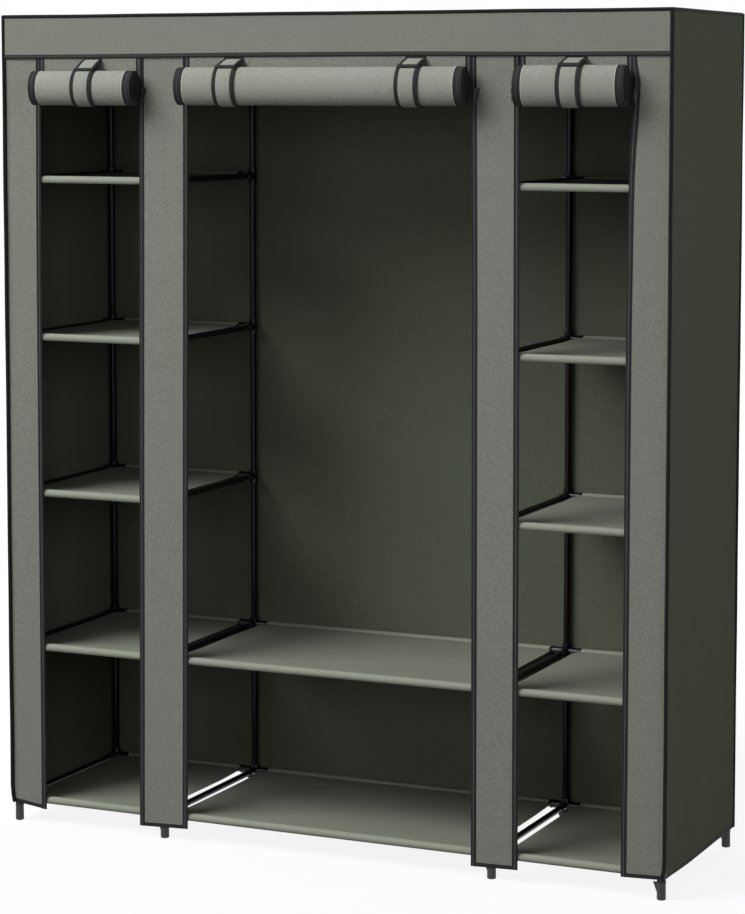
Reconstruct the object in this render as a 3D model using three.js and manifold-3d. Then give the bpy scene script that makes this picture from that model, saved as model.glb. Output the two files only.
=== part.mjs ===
// A portable fabric wardrobe. Thin steel tubes in plastic corner connectors make the frame, cloth
// shelves and a hanging rod hang in it, and a sewn cover closes it. The cover's three doors are
// rolled up and held by straps. Sizes are in millimetres: X runs to the right, Y to the back and
// Z up from the floor.

import * as THREE from "three";
import { mergeVertices } from "three/addons/utils/BufferGeometryUtils.js";
import Module from "manifold-3d";

const wasm = await Module();
wasm.setup();

// The whole wardrobe
const WIDTH = 1500;
const DEPTH = 450;
const HEIGHT = 1750;
const CLOTH = 1.2;
const GAP = 0.3;

// The tubes and their corner connectors
const TUBE_RADIUS = 6.5;
const TUBE_WALL = 0.7;
const SOCKET_RADIUS = 9;
const SOCKET_LENGTH = 34;
const HUB_REACH = 16;
const COVER_CLEARANCE = 1.8;
const SIDE_BAY = 361.5;
const LOWEST_LEVEL = 51;
const LEVELS = 6;
const CUT_OVERRUN = 2;

// The feet
const FOOT_RADIUS = 9.2;
const FOOT_CHAMFER = 0.8;
const FOOT_FLOOR = 4;

// The cloth shelves, with a sleeve round the front and the back rail
const SLEEVE_WALL = 1.4;
const SHEET = 1.6;
const SHEET_INSET = 26;
const SLEEVE_INSET = 36;
const CORNER_CUT = 28;

// The hanging rod, which clips over the inner side tubes
const CLIP_LENGTH = 24;
const CLIP_SOCKET_LENGTH = 32;

// The sewn cover
const HEM = 41;
const HEADER_HEIGHT = 92;
const BEND_HEIGHT = 1250;

// The four front strips: each edge's place at the top, at the bend and at the hem. The outer strips
// are measured inwards from the cover's corner, the inner ones outwards from their post's axis.
const LEFT_STRIP = { inner: [93, 88, 86], hem: [43, 33] };
const LEFT_POST_STRIP = { left: [42, 45, 55], right: [73, 70, 60], hem: [23, 28] };
const RIGHT_POST_STRIP = { left: [47, 42, 41], right: [56, 58, 60], hem: [24, 27] };
const RIGHT_STRIP = { inner: [84, 91, 93], hem: [40, 43] };

// The doors, each wound up from its hem into an oval roll. The rise is half of the roll's height, the
// drop is from the top of the cover to its middle, the offset is how far it sits off the middle of its
// doorway, and the lap is its reach over each strip.
const DOOR_LENGTH = 1600;
const ROLL_HALF_DEPTH = 27;
const ROLL_CORE = 3;
const STEPS_PER_TURN = 16;
const LEFT_RISE = 37.5;
const LEFT_DROP = 153;
const LEFT_OFFSET = 3;
const LEFT_LAP = 3;
const MIDDLE_RISE = 40.5;
const MIDDLE_DROP = 149;
const MIDDLE_OFFSET = -3;
const MIDDLE_LAP = 3;
const RIGHT_RISE = 42;
const RIGHT_DROP = 148;
const RIGHT_OFFSET = 3.5;
const RIGHT_LAP = 1;
const CURTAIN_TUCK = 22;

// The places of the straps, from the middle of each door, as shares of half of its width
const LEFT_STRAP_SHARES = [0.05];
const MIDDLE_STRAP_SHARES = [-0.64, 0.63];
const RIGHT_STRAP_SHARES = [0.01];

// The straps round the rolls, and the tabs that close them
const STRAP_WIDTH = 50;
const STRAP_STEPS = 18;
const TAB_WIDTH = 46;
const TAB_LENGTH = 34;
const TAB_FORWARD = 0.8;
const TAB_BELOW = 1;

// The zip sliders, parked beside the ends of the rolls
const SLIDER_OFFSET = 11.6;
const SLIDER_WIDTH = 10;
const SLIDER_LENGTH = 14;
const SLIDER_THICKNESS = 4.5;
const SLIDER_DROP = 160;
const SLIDER_NECK_SHARE = 0.6;
const BRIDGE_WIDTH = 3;
const BRIDGE_HEIGHT = 2;
const PULL_WIDTH = 5;
const PULL_LENGTH = 26;
const PULL_THICKNESS = 1.2;

const TUBE_SIDES = 8;
const POSITION_SIZE = 3;
const MERGE_DISTANCE = 1e-4;

const OUTER_POST_X = WIDTH / 2 - CLOTH - COVER_CLEARANCE - SOCKET_RADIUS;
const INNER_POST_X = OUTER_POST_X - SIDE_BAY;
const POST_Y = DEPTH / 2 - CLOTH - COVER_CLEARANCE - SOCKET_RADIUS;
const POST_XS = [-OUTER_POST_X, -INNER_POST_X, INNER_POST_X, OUTER_POST_X];
const ROOF_UNDERSIDE = HEIGHT - CLOTH;
const FRAME_TOP = ROOF_UNDERSIDE - GAP;
const TOP_LEVEL = FRAME_TOP - SOCKET_RADIUS;
const LEVEL_STEP = (TOP_LEVEL - LOWEST_LEVEL) / (LEVELS - 1);

// Planes of the front, from the strips forwards
const FRONT = -DEPTH / 2;
const CURTAIN_BACK = FRONT - GAP;
const CURTAIN_FRONT = CURTAIN_BACK - CLOTH;
const HEADER_BACK = CURTAIN_FRONT - GAP;
const HEADER_FRONT = HEADER_BACK - CLOTH;
const HEADER_BOTTOM = HEIGHT - HEADER_HEIGHT;

const FINISHES = {
  cover: { color: 0x757a6e, roughness: 0.95, metalness: 0 },
  shelf: { color: 0x6f7367, roughness: 0.95, metalness: 0 },
  tube: { color: 0x0c0c0d, roughness: 0.3, metalness: 0.3 },
  slider: { color: 0x0b0b0b, roughness: 0.35, metalness: 0.6 },
};

function piece(name, finish, geometry, x = 0, y = 0, z = 0) {
  const mesh = new THREE.Mesh(geometry, new THREE.MeshStandardMaterial(FINISHES[finish]));
  mesh.name = name;
  mesh.position.set(x, y, z);
  return mesh;
}

function solidOf(geometry) {
  const bare = geometry.clone();
  bare.deleteAttribute("normal");
  bare.deleteAttribute("uv");
  const merged = mergeVertices(bare, MERGE_DISTANCE);
  const vertProperties = merged.attributes.position.array;
  const triVerts = new Uint32Array(merged.index.array);
  return new wasm.Manifold(new wasm.Mesh({ numProp: POSITION_SIZE, vertProperties, triVerts }));
}

function geometryOf(solid) {
  const { vertProperties, triVerts } = solid.getMesh();
  const geometry = new THREE.BufferGeometry();
  geometry.setAttribute("position", new THREE.BufferAttribute(vertProperties, POSITION_SIZE));
  geometry.setIndex(new THREE.BufferAttribute(triVerts, 1));
  geometry.computeVertexNormals();
  return geometry;
}

const join = (solids) => solids.reduce((whole, next) => whole.add(next));
const cut = (solid, tools) => tools.reduce((rest, tool) => rest.subtract(tool), solid);

// Extrusions along each axis of the wardrobe, from outlines in the plane across it
function extrudeAlongX(outline, left, right) {
  const turn = new THREE.Matrix4().makeBasis(
    new THREE.Vector3(0, 1, 0),
    new THREE.Vector3(0, 0, 1),
    new THREE.Vector3(1, 0, 0),
  );
  const options = { depth: right - left, bevelEnabled: false };
  return new THREE.ExtrudeGeometry(outline, options).applyMatrix4(turn).translate(left, 0, 0);
}

function extrudeAlongY(outline, front, back) {
  const options = { depth: back - front, bevelEnabled: false };
  return new THREE.ExtrudeGeometry(outline, options).rotateX(Math.PI / 2).translate(0, back, 0);
}

function extrudeAlongZ(outline, bottom, top) {
  const options = { depth: top - bottom, bevelEnabled: false };
  return new THREE.ExtrudeGeometry(outline, options).translate(0, 0, bottom);
}

const outlineOf = (points) => new THREE.Shape(points.map(([a, b]) => new THREE.Vector2(a, b)));

function slab([left, right], [front, back], [bottom, top]) {
  const box = new THREE.BoxGeometry(right - left, back - front, top - bottom);
  return box.translate((left + right) / 2, (front + back) / 2, (bottom + top) / 2);
}

// A round bar between two points that lie on a line along X, Y or Z
function bar(radius, from, to) {
  const start = new THREE.Vector3(...from);
  const way = new THREE.Vector3(...to).sub(start);
  const cylinder = new THREE.CylinderGeometry(radius, radius, way.length(), TUBE_SIDES);
  const turn = new THREE.Quaternion().setFromUnitVectors(
    new THREE.Vector3(0, 1, 0),
    way.clone().normalize(),
  );
  cylinder.applyQuaternion(turn);
  const middle = start.addScaledVector(way, 1 / 2);
  return solidOf(cylinder.translate(middle.x, middle.y, middle.z));
}

// A post: one steel tube on a plastic foot, open at its top end
function post() {
  const bore = TUBE_RADIUS - TUBE_WALL;
  const footTop = LOWEST_LEVEL - HUB_REACH - GAP;
  const profile = [
    [0, 0],
    [FOOT_RADIUS - FOOT_CHAMFER, 0],
    [FOOT_RADIUS, FOOT_CHAMFER],
    [FOOT_RADIUS, footTop],
    [TUBE_RADIUS, footTop],
    [TUBE_RADIUS, FRAME_TOP],
    [bore, FRAME_TOP],
    [bore, FOOT_FLOOR],
    [0, FOOT_FLOOR],
  ];
  const points = profile.map(([radius, height]) => new THREE.Vector2(radius, height));
  return new THREE.LatheGeometry(points, TUBE_SIDES).rotateX(Math.PI / 2);
}

// One level: its rails, its side tubes, and the connectors that slide over the posts
function levelFrame(postXs, hubTop) {
  const first = postXs[0];
  const last = postXs[postXs.length - 1];
  const solids = [];
  const bores = [];
  for (const y of [-POST_Y, POST_Y]) {
    solids.push(bar(TUBE_RADIUS, [first, y, 0], [last, y, 0]));
  }
  for (const x of postXs) {
    solids.push(bar(TUBE_RADIUS, [x, -POST_Y, 0], [x, POST_Y, 0]));
    const left = x === first ? x : x - SOCKET_LENGTH;
    const right = x === last ? x : x + SOCKET_LENGTH;
    for (const y of [-POST_Y, POST_Y]) {
      const inwards = y - Math.sign(y) * SOCKET_LENGTH;
      solids.push(bar(SOCKET_RADIUS, [x, y, -HUB_REACH], [x, y, hubTop]));
      solids.push(bar(SOCKET_RADIUS, [x, y, 0], [x, inwards, 0]));
      solids.push(bar(SOCKET_RADIUS, [left, y, 0], [right, y, 0]));
      const below = [x, y, -HUB_REACH - CUT_OVERRUN];
      bores.push(bar(TUBE_RADIUS + GAP, below, [x, y, hubTop + CUT_OVERRUN]));
    }
  }
  return geometryOf(cut(join(solids), bores));
}

// A shelf between two posts: a sheet with cut corners on top, and a sleeve round each rail
function shelf(bay) {
  const sleeveInner = TUBE_RADIUS + GAP;
  const sleeveOuter = sleeveInner + SLEEVE_WALL;
  const half = bay / 2;
  const wide = half - SHEET_INSET;
  const narrow = half - SLEEVE_INSET;
  const cutEnd = POST_Y - SOCKET_RADIUS;
  const cutStart = cutEnd - CORNER_CUT;
  const sheet = extrudeAlongZ(
    outlineOf([
      [-narrow, -POST_Y],
      [narrow, -POST_Y],
      [narrow, -cutEnd],
      [wide, -cutStart],
      [wide, cutStart],
      [narrow, cutEnd],
      [narrow, POST_Y],
      [-narrow, POST_Y],
      [-narrow, cutEnd],
      [-wide, cutStart],
      [-wide, -cutStart],
      [-narrow, -cutEnd],
    ]),
    sleeveOuter - SHEET,
    sleeveOuter,
  );
  const solids = [solidOf(sheet)];
  const rails = [];
  for (const y of [-POST_Y, POST_Y]) {
    solids.push(bar(sleeveOuter, [-narrow, y, 0], [narrow, y, 0]));
    const end = narrow + CUT_OVERRUN;
    rails.push(bar(sleeveInner, [-end, y, 0], [end, y, 0]));
  }
  return geometryOf(cut(join(solids), rails));
}

// The hanging rod, with a clip round the side tube at each end
function hangingRod() {
  const clipBore = TUBE_RADIUS + GAP;
  const mouth = INNER_POST_X - CLIP_SOCKET_LENGTH;
  const solids = [bar(TUBE_RADIUS, [-INNER_POST_X, 0, 0], [INNER_POST_X, 0, 0])];
  const bores = [];
  for (const side of [-1, 1]) {
    const x = side * INNER_POST_X;
    const front = -CLIP_LENGTH / 2;
    const back = CLIP_LENGTH / 2;
    solids.push(bar(SOCKET_RADIUS, [x, front, 0], [x, back, 0]));
    solids.push(bar(SOCKET_RADIUS, [x, 0, 0], [side * mouth, 0, 0]));
    bores.push(bar(clipBore, [x, front - CUT_OVERRUN, 0], [x, back + CUT_OVERRUN, 0]));
  }
  return geometryOf(cut(join(solids), bores));
}

// The place of a leaning edge at a height, from its places at the top, the bend and the hem
function edgeAt([top, bend, hem], height) {
  if (height > BEND_HEIGHT) {
    return THREE.MathUtils.mapLinear(height, BEND_HEIGHT, HEIGHT, bend, top);
  }
  return THREE.MathUtils.mapLinear(height, 0, BEND_HEIGHT, hem, bend);
}

// The doors in order from the left
const DOORS = [
  {
    side: "left",
    rise: LEFT_RISE,
    height: HEIGHT - LEFT_DROP,
    offset: LEFT_OFFSET,
    lap: LEFT_LAP,
    strapShares: LEFT_STRAP_SHARES,
  },
  {
    side: "middle",
    rise: MIDDLE_RISE,
    height: HEIGHT - MIDDLE_DROP,
    offset: MIDDLE_OFFSET,
    lap: MIDDLE_LAP,
    strapShares: MIDDLE_STRAP_SHARES,
  },
  {
    side: "right",
    rise: RIGHT_RISE,
    height: HEIGHT - RIGHT_DROP,
    offset: RIGHT_OFFSET,
    lap: RIGHT_LAP,
    strapShares: RIGHT_STRAP_SHARES,
  },
];

// The strips in order from the left, each edge as its X at the top, at the bend and at the hem
const CORNER_X = WIDTH / 2 - CLOTH - GAP;
const shifted = (places, start, sign) => places.map((place) => start + sign * place);
const STRIPS = [
  {
    left: shifted([0, 0, 0], -CORNER_X, 1),
    right: shifted(LEFT_STRIP.inner, -WIDTH / 2, 1),
    hem: LEFT_STRIP.hem,
  },
  {
    left: shifted(LEFT_POST_STRIP.left, -INNER_POST_X, -1),
    right: shifted(LEFT_POST_STRIP.right, -INNER_POST_X, 1),
    hem: LEFT_POST_STRIP.hem,
  },
  {
    left: shifted(RIGHT_POST_STRIP.left, INNER_POST_X, -1),
    right: shifted(RIGHT_POST_STRIP.right, INNER_POST_X, 1),
    hem: RIGHT_POST_STRIP.hem,
  },
  {
    left: shifted(RIGHT_STRIP.inner, WIDTH / 2, -1),
    right: shifted([0, 0, 0], CORNER_X, 1),
    hem: RIGHT_STRIP.hem,
  },
];

function frontStrip({ left, right, hem: [leftHem, rightHem] }) {
  const outline = outlineOf([
    [edgeAt(left, leftHem), leftHem],
    [edgeAt(right, rightHem), rightHem],
    [edgeAt(right, BEND_HEIGHT), BEND_HEIGHT],
    [edgeAt(right, FRAME_TOP), FRAME_TOP],
    [edgeAt(left, FRAME_TOP), FRAME_TOP],
    [edgeAt(left, BEND_HEIGHT), BEND_HEIGHT],
  ]);
  return extrudeAlongY(outline, FRONT, FRONT + CLOTH);
}

// The panels of the cover, which meet a roof that reaches over them all
function coverPanels() {
  const half = WIDTH / 2;
  const back = DEPTH / 2;
  const walls = [HEM, FRAME_TOP];
  const panels = [
    ["cover_top", slab([-half, half], [HEADER_FRONT, back], [ROOF_UNDERSIDE, HEIGHT])],
    ["cover_back", slab([-CORNER_X, CORNER_X], [back - CLOTH, back], walls)],
    ["cover_left_side", slab([-half, CLOTH - half], [FRONT, back], walls)],
    ["cover_right_side", slab([half - CLOTH, half], [FRONT, back], walls)],
    ["cover_header_band", slab([-half, half], [HEADER_FRONT, HEADER_BACK], [HEADER_BOTTOM, FRAME_TOP])],
  ];
  STRIPS.forEach((strip, i) => panels.push([`cover_front_strip_${i + 1}`, frontStrip(strip)]));
  return panels;
}

// The middle of a doorway at the height of its roll, and half of the door's width
function doorSpan(i) {
  const { height, offset, lap } = DOORS[i];
  const left = edgeAt(STRIPS[i].right, height);
  const right = edgeAt(STRIPS[i + 1].left, height);
  return { middle: (left + right) / 2 + offset, half: (right - left) / 2 + lap };
}

// A wound door in its own plane: its free end points up at the back, where the curtain goes on
function spiral(rise) {
  const coreRise = rise - ROLL_HALF_DEPTH + ROLL_CORE;
  const area = Math.PI * (ROLL_HALF_DEPTH * rise - ROLL_CORE * coreRise);
  const pitch = area / DOOR_LENGTH;
  const turns = (ROLL_HALF_DEPTH - ROLL_CORE) / pitch;
  const steps = Math.round(turns * STEPS_PER_TURN);
  const outer = [];
  const inner = [];
  for (let i = 0; i <= steps; i++) {
    const angle = (2 * Math.PI * i) / STEPS_PER_TURN;
    const wound = (pitch * i) / STEPS_PER_TURN;
    const deep = ROLL_HALF_DEPTH - wound;
    const tall = rise - wound;
    outer.push([deep * Math.cos(angle), -tall * Math.sin(angle)]);
    inner.push([(deep - CLOTH) * Math.cos(angle), -(tall - CLOTH) * Math.sin(angle)]);
  }
  return { outer, inner };
}

// The least distance from a turn's inner face to the next turn's outer face
function leastGap({ outer, inner }) {
  let least = Infinity;
  for (let i = 0; i + STEPS_PER_TURN < outer.length; i++) {
    for (let j = i + STEPS_PER_TURN - 1; j <= i + STEPS_PER_TURN; j++) {
      const [y, z] = inner[i];
      const [startY, startZ] = outer[j];
      const [endY, endZ] = outer[Math.min(j + 1, outer.length - 1)];
      const edge = new THREE.Line3(new THREE.Vector3(startY, startZ), new THREE.Vector3(endY, endZ));
      const point = new THREE.Vector3(y, z);
      const near = edge.closestPointToPoint(point, true, new THREE.Vector3());
      least = Math.min(least, near.distanceTo(point));
    }
  }
  return least;
}

function doorRoll(name, rise, half) {
  const { outer, inner } = spiral(rise);
  console.log(`${name}: least gap between turns ${leastGap({ outer, inner }).toFixed(2)} mm`);
  return extrudeAlongX(outlineOf([...outer, ...inner.reverse()]), -half, half);
}

// A strap: down behind the curtain, under the roll and up its front to the top
function strap(rise, height) {
  const near = GAP;
  const far = near + CLOTH;
  const top = HEADER_BOTTOM + CURTAIN_TUCK - height;
  const arc = (off) => {
    const points = [];
    for (let i = 0; i <= STRAP_STEPS; i++) {
      const angle = (Math.PI * 3 * i) / (2 * STRAP_STEPS);
      points.push([(ROLL_HALF_DEPTH + off) * Math.cos(angle), -(rise + off) * Math.sin(angle)]);
    }
    return points;
  };
  const [back, front] = [ROLL_HALF_DEPTH + far, ROLL_HALF_DEPTH + near];
  const outline = [[back, top], ...arc(far), ...arc(near).reverse(), [front, top]];
  return extrudeAlongX(outlineOf(outline), -STRAP_WIDTH / 2, STRAP_WIDTH / 2);
}

// How far a tab hangs below the level when it lies on its strap, from its hinge under the header:
// the tangent to a circle, with all heights scaled by the oval's proportion
function tabSlope(rise, hingeY, hingeZ) {
  const off = GAP + CLOTH + GAP + CLOTH / 2;
  const reach = ROLL_HALF_DEPTH + off;
  const proportion = (rise + off) / reach;
  const scaledZ = hingeZ / proportion;
  const distance = Math.hypot(hingeY, scaledZ);
  const slope = Math.atan2(scaledZ, hingeY) - Math.asin(reach / distance);
  return Math.atan(Math.tan(slope) * proportion);
}

// A tab that hangs forwards from a rounded hinge edge along X
function tab() {
  const round = CLOTH / 2;
  const outline = new THREE.Shape();
  outline.moveTo(-TAB_LENGTH, -round);
  outline.lineTo(0, -round);
  outline.absarc(0, 0, round, -Math.PI / 2, Math.PI / 2, false);
  outline.lineTo(-TAB_LENGTH, round);
  outline.closePath();
  const options = { depth: TAB_WIDTH, bevelEnabled: false, curveSegments: 4 };
  const turn = new THREE.Matrix4().makeBasis(
    new THREE.Vector3(0, 1, 0),
    new THREE.Vector3(0, 0, 1),
    new THREE.Vector3(1, 0, 0),
  );
  return new THREE.ExtrudeGeometry(outline, options)
    .applyMatrix4(turn)
    .translate(-TAB_WIDTH / 2, 0, 0);
}

// A zip slider with its bridge and its pull, which hangs in front of it
function slider() {
  const half = SLIDER_WIDTH / 2;
  const neck = half * SLIDER_NECK_SHARE;
  const long = SLIDER_LENGTH / 2;
  const body = outlineOf([
    [-neck, -long],
    [neck, -long],
    [half, 0],
    [half, long],
    [-half, long],
    [-half, 0],
  ]);
  const front = -SLIDER_THICKNESS;
  const bridgeFront = front - BRIDGE_HEIGHT - PULL_THICKNESS;
  const pullTop = long - BRIDGE_HEIGHT;
  const bridge = slab([-BRIDGE_WIDTH / 2, BRIDGE_WIDTH / 2], [bridgeFront, front / 2], [-neck, long]);
  const pull = slab(
    [-PULL_WIDTH / 2, PULL_WIDTH / 2],
    [bridgeFront, bridgeFront + PULL_THICKNESS],
    [pullTop - PULL_LENGTH, pullTop],
  );
  const solids = [extrudeAlongY(body, front, 0), bridge, pull].map(solidOf);
  return geometryOf(join(solids));
}

const levelHeight = (level) => LOWEST_LEVEL + level * LEVEL_STEP;

function frameGroup() {
  const group = new THREE.Group();
  const names = ["outer_left", "inner_left", "inner_right", "outer_right"];
  POST_XS.forEach((x, i) => {
    group.add(piece(`post_front_${names[i]}`, "tube", post(), x, -POST_Y));
    group.add(piece(`post_back_${names[i]}`, "tube", post(), x, POST_Y));
  });
  for (let level = 0; level < LEVELS; level++) {
    const z = levelHeight(level);
    const top = level === LEVELS - 1;
    if (level <= 1 || top) {
      const whole = levelFrame(POST_XS, top ? SOCKET_RADIUS : HUB_REACH);
      group.add(piece(`level_${level + 1}_frame`, "tube", whole, 0, 0, z));
    } else {
      const left = levelFrame(POST_XS.slice(0, 2), HUB_REACH);
      const right = levelFrame(POST_XS.slice(2), HUB_REACH);
      group.add(piece(`level_${level + 1}_left_frame`, "tube", left, 0, 0, z));
      group.add(piece(`level_${level + 1}_right_frame`, "tube", right, 0, 0, z));
    }
  }
  group.add(piece("hanging_rod", "tube", hangingRod(), 0, 0, TOP_LEVEL));
  return group;
}

function shelfGroup() {
  const group = new THREE.Group();
  const sideX = (OUTER_POST_X + INNER_POST_X) / 2;
  for (let level = 0; level < LEVELS - 1; level++) {
    const z = levelHeight(level);
    group.add(piece(`shelf_left_${level + 1}`, "shelf", shelf(SIDE_BAY), -sideX, 0, z));
    group.add(piece(`shelf_right_${level + 1}`, "shelf", shelf(SIDE_BAY), sideX, 0, z));
    if (level <= 1) {
      group.add(piece(`shelf_middle_${level + 1}`, "shelf", shelf(2 * INNER_POST_X), 0, 0, z));
    }
  }
  return group;
}

function coverGroup() {
  const group = new THREE.Group();
  for (const [name, geometry] of coverPanels()) {
    group.add(piece(name, "cover", geometry));
  }
  return group;
}

function doorGroup({ side, rise, height, strapShares }, i) {
  const { middle, half } = doorSpan(i);
  const group = new THREE.Group();
  group.position.set(middle, CURTAIN_BACK - ROLL_HALF_DEPTH, height);
  const name = `${side}_door_roll`;
  group.add(piece(name, "cover", doorRoll(name, rise, half)));
  const thickness = [ROLL_HALF_DEPTH - CLOTH, ROLL_HALF_DEPTH];
  const curtain = slab([-half, half], thickness, [GAP, HEADER_BOTTOM + CURTAIN_TUCK - height]);
  group.add(piece(`${side}_door_curtain`, "cover", curtain));
  strapShares.forEach((share, n) => {
    const x = share * half;
    const suffix = strapShares.length > 1 ? `_${n + 1}` : "";
    group.add(piece(`${side}_roll_strap${suffix}`, "cover", strap(rise, height), x));
    const hingeY = HEADER_FRONT - TAB_FORWARD - group.position.y;
    const hingeZ = HEADER_BOTTOM - TAB_BELOW - height;
    const flap = piece(`${side}_strap_tab${suffix}`, "cover", tab(), x, hingeY, hingeZ);
    flap.rotation.x = tabSlope(rise, hingeY, hingeZ);
    group.add(flap);
  });
  return group;
}

// Two sliders to a door, each on the zip tape along the edge of a strip
function sliderGroup() {
  const group = new THREE.Group();
  DOORS.forEach(({ side }, i) => {
    const z = HEIGHT - SLIDER_DROP;
    const left = edgeAt(STRIPS[i].right, z) - SLIDER_OFFSET;
    const right = edgeAt(STRIPS[i + 1].left, z) + SLIDER_OFFSET;
    const y = FRONT - GAP;
    group.add(piece(`${side}_door_slider_left`, "slider", slider(), left, y, z));
    group.add(piece(`${side}_door_slider_right`, "slider", slider(), right, y, z));
  });
  return group;
}

// The origin lies on the floor, in the middle of the space that the wardrobe takes up, rolls included
const reachForwards = 2 * ROLL_HALF_DEPTH + GAP + CLOTH - CURTAIN_BACK;
const wardrobe = new THREE.Group();
wardrobe.add(frameGroup(), shelfGroup(), coverGroup(), sliderGroup(), ...DOORS.map(doorGroup));
wardrobe.position.y = (reachForwards - DEPTH / 2) / 2;

export default wardrobe;
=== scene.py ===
import math

import bmesh
import bpy
import numpy as np
from mathutils import Matrix, Vector


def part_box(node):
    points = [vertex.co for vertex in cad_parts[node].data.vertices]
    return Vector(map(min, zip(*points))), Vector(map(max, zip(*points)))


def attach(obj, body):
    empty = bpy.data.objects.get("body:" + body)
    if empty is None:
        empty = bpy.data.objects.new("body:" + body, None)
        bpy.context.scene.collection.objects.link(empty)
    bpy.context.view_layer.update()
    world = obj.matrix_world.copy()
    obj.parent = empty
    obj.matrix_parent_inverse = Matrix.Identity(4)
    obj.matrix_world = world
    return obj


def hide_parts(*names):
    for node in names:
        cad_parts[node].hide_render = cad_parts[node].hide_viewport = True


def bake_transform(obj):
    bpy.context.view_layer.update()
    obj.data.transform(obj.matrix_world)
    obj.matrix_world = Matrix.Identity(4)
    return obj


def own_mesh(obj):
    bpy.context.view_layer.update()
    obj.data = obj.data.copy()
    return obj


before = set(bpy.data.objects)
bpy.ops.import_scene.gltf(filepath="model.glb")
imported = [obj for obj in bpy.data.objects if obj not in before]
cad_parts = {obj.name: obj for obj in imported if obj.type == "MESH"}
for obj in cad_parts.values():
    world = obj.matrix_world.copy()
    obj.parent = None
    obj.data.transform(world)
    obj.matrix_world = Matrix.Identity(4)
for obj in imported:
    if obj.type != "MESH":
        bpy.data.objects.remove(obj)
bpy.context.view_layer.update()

# Sizes in millimetres, in the cover's own frame: X to the right, Y to the back from the middle of
# the cover, Z up from the floor. SHIFT_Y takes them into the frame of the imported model.
WIDTH = 1500.0
DEPTH = 450.0
HEIGHT = 1750.0
CLOTH = 1.2
HALF_CLOTH = CLOTH / 2
GAP = 0.3
HALF = WIDTH / 2
FRONT = -DEPTH / 2
BACK = DEPTH / 2
SHIFT_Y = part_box("cover_back")[1].y * 1000 - BACK

TUBE_RADIUS = 6.5
SOCKET_RADIUS = 9.0
SOCKET_LENGTH = 34.0
HUB_REACH = 16.0
OUTER_POST_X = 738.0
INNER_POST_X = 376.5
POST_Y = 213.0
POST_XS = (-OUTER_POST_X, -INNER_POST_X, INNER_POST_X, OUTER_POST_X)
POST_NAMES = ("outer_left", "inner_left", "inner_right", "outer_right")
# How far a rail or side tube ends short of its post's axis
TUBE_INSET = 10.0
TUBE_END_RADIUS = 5.8
TUBE_CHAMFER = 0.6
LOWEST_LEVEL = 51.0
LEVELS = 6
LEVEL_STEP = 337.7
FRAME_TOP = HEIGHT - CLOTH - GAP
FOOT_RADIUS = 9.2
FOOT_TOP = LOWEST_LEVEL - HUB_REACH
# A foot: heights, and what each adds to the radius; and its web's outline, from the post's axis
FOOT_SHAPE = (
    (0, -2.2), (0.5, -0.9), (1.6, -0.1), (3, 0),
    (FOOT_TOP - 3, -0.4), (FOOT_TOP - 1.5, 0.3), (FOOT_TOP, 0),
)
FOOT_WEB = (
    (0, FOOT_TOP), (-17, FOOT_TOP), (-15, FOOT_TOP - 4),
    (0.6 - FOOT_RADIUS, FOOT_TOP - 21), (0, FOOT_TOP - 21),
)
# A connector's collar: places from its lowest or highest end, and what each adds to the radius
COLLAR_LOW = ((0, -0.3), (0.8, 0.3), (3, 0.3), (4, -0.2))
COLLAR_HIGH = ((4, -0.2), (3, 0.3), (0.8, 0.3), (0, -0.4))
# The webs of a connector: how long, how tall, and how thick
SIDE_WEB = (26, 15)
CORNER_WEB = (22, 22)
WEB_THICK = 3.2
FOOT_WEB_THICK = 4.4
ROD_SOCKET = 32
ROD_CLIP_LENGTH = 24

# The shelves: the radius of the sleeve round a rail, the cloth's height over the rail's axis, its
# thickness, and how far it sags
SLEEVE_RADIUS = 7.9
SHELF_RISE = 3.6
SHELF_CLOTH = 1.3
SHELF_SAG = 2.6
SHELF_WAVE = 0.7
SHELF_EDGE_DROP = 1.2
SHELF_OUTER_REACH = 11.0
# How far a shelf's sides lie in from its posts' axes, at its rails and past them, and over what
# depth it widens
SHELF_NARROW_INSET = 36.0
SHELF_WIDE_INSET = 26.0
SHELF_WIDENING = 28.0
# How far from a rail its plain part starts, and between which distances it comes to sag
SHELF_PLAIN_START = 32.0
SHELF_FREE_START = 16.0
SHELF_FREE_END = 120.0
# The sewn end of the sleeve behind a rail: places back from the rail's axis, and heights
SLEEVE_SEAM = ((3, 7.6), (6, 6.6), (8.5, 4.9), (10.5, 3.3), (12, 2.9), (13.5, 3.4), (18, 3.6))

HEM = 41.0
HEADER_BOTTOM = 1658.0
CURTAIN_BACK = FRONT - GAP
HEADER_FRONT = FRONT - 3.0

# The front strips: the places of the left and the right edge at the top, at the bend and at the
# hem, and the heights of the hem's two ends
BEND_HEIGHT = 1250.0
STRIPS = (
    ((-748.5, -748.5, -748.5), (-657, -662, -664), (43, 33)),
    ((-418.5, -421.5, -431.5), (-303.5, -306.5, -316.5), (23, 28)),
    ((329.5, 334.5, 335.5), (432.5, 434.5, 436.5), (24, 27)),
    ((666, 659, 657), (748.5, 748.5, 748.5), (40, 43)),
)
# Between which heights a strip's waves fade, where it lies behind the front, and how deep it waves
STRIP_SEWN = (1500, 1650)
STRIP_INSET = 0.8
STRIP_BOW = 1.1
TAPE_WIDTH = 12.0
# The tape's profile: across it, and out from the cloth
TAPE_PROFILE = (
    (-6.0, -1.1), (-6.2, 0.1), (-5.7, 1.1), (-4.6, 1.4), (-2.6, 1.4), (-1.4, 1.1),
    (-0.7, 0.7), (0.4, 0.8), (1.6, 0.8), (2.2, 1.2), (3.2, 1.6), (4.6, 1.6),
    (5.6, 1.2), (6.1, 0.3), (5.8, -0.7), (4.8, -1.1),
)
ROOF_DROOP = 1.6
BACK_BOW = 1.6
SIDE_BOW = 1.3
PIPING = 4.1
ROOF_PIPING = 3.7
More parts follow.
